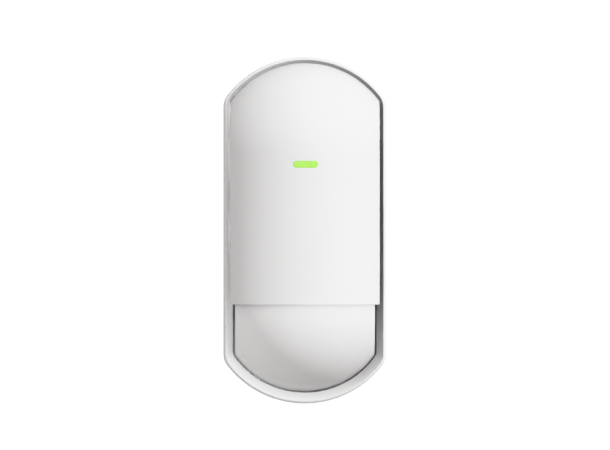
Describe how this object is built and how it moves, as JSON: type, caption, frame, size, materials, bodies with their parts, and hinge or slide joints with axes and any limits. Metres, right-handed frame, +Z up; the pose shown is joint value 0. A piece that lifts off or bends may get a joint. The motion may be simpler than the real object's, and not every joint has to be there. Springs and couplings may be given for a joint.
{
  "type": "wall motion detector",
  "caption": "Slim wall-mounted infrared motion detector: domed hood over a domed lens in a rounded frame on a wall tray, battery powered, opens on its top edge.",
  "frame": {"origin": "middle of the flat wall face", "axes": "+Y into the wall, the detector stands out along -Y, +Z up along its length, X across its width"},
  "size_m": [0.0508, 0.0393, 0.108],
  "materials": {
    "moulded_white": "fine satin moulding",
    "hood_white": "fine satin moulding",
    "guide_green": "clear green, lit from behind",
    "lens_polyethylene": "waxy, slightly translucent",
    "chassis_grey": "plain moulding",
    "board_green": "solder mask over glass laminate",
    "plated_steel": "zinc plated",
    "nickel_can": "nickel plated, drawn",
    "infrared_filter": "dark coated silicon",
    "black_foam": "closed-cell foam",
    "chromed_plastic": "vacuum metallised",
    "led_resin": "clear resin over a ceramic chip",
    "cell_sleeve": "shrink sleeve",
    "spring_steel": "nickel plated",
    "tinned_steel": "tin plated",
    "switch_red": "moulded",
    "switch_white": "moulded",
    "black_plastic": "moulded",
    "capacitor_sleeve": "shrink sleeve",
    "chip_black": "moulded epoxy"
  },
  "bodies": {
    "base": {"rear_base": "moulded_white"},
    "front_unit": {"front_case": "moulded_white", "lens": "lens_polyethylene", "chassis": "chassis_grey", "main_board": "board_green", "board_screw_top": "plated_steel", "board_screw_left": "plated_steel", "board_screw_right": "plated_steel", "pyro_sensor_can": "nickel_can", "pyro_window": "infrared_filter", "sensor_shroud": "black_foam", "creep_mirror": "chromed_plastic", "status_led": "led_resin", "battery_cradle": "chassis_grey", "battery_spring": "spring_steel", "battery_contact": "spring_steel", "radio_board": "board_green", "radio_shield": "tinned_steel", "antenna": "spring_steel", "dip_switch_body": "switch_red", "learn_switch_body": "black_plastic", "reservoir_capacitor": "capacitor_sleeve", "microcontroller": "chip_black", "crystal": "tinned_steel", "tamper_housing": "black_plastic", "tamper_spring": "spring_steel"},
    "lock_screw": {"lock_screw": "plated_steel"},
    "hood": {"hood": "hood_white", "light_guide": "guide_green"},
    "battery": {"battery_cell": "cell_sleeve"},
    "tamper_plunger": {"tamper_plunger": "switch_white"},
    "learn_button": {"learn_button": "switch_white"},
    "dip_slider_1": {"dip_slider_1": "switch_white"},
    "dip_slider_2": {"dip_slider_2": "switch_white"},
    "dip_slider_3": {"dip_slider_3": "switch_white"},
    "dip_slider_4": {"dip_slider_4": "switch_white"}
  },
  "joints": [
    {"name": "case_swing", "type": "hinge", "parent": "base", "child": "front_unit", "pos_m": [0, -0.00715, 0.05405], "axis": [-1, 0, 0], "range_deg": [0, 40]},
    {"name": "lock_screw_turn", "type": "hinge", "parent": "base", "child": "lock_screw", "pos_m": [0, -0.0039, -0.0535], "axis": [0, 0, -1], "range_deg": [0, 720]},
    {"name": "hood_lift", "type": "slide", "parent": "front_unit", "child": "hood", "axis": [0, -1, 0], "range_m": [0, 0.032]},
    {"name": "battery_lift", "type": "slide", "parent": "front_unit", "child": "battery", "axis": [0, -1, 0], "range_m": [0, 0.0058]},
    {"name": "tamper_release", "type": "slide", "parent": "front_unit", "child": "tamper_plunger", "axis": [0, 1, 0], "range_m": [0, 0.0015], "deforming": ["tamper_spring"]},
    {"name": "learn_press", "type": "slide", "parent": "front_unit", "child": "learn_button", "axis": [0, 1, 0], "range_m": [0, 0.00035]},
    {"name": "dip_1", "type": "slide", "parent": "front_unit", "child": "dip_slider_1", "axis": [1, 0, 0], "range_m": [0, 0.0013]},
    {"name": "dip_2", "type": "slide", "parent": "front_unit", "child": "dip_slider_2", "axis": [1, 0, 0], "range_m": [0, 0.0013]},
    {"name": "dip_3", "type": "slide", "parent": "front_unit", "child": "dip_slider_3", "axis": [1, 0, 0], "range_m": [0, 0.0013]},
    {"name": "dip_4", "type": "slide", "parent": "front_unit", "child": "dip_slider_4", "axis": [1, 0, 0], "range_m": [0, 0.0013]}
  ]
}
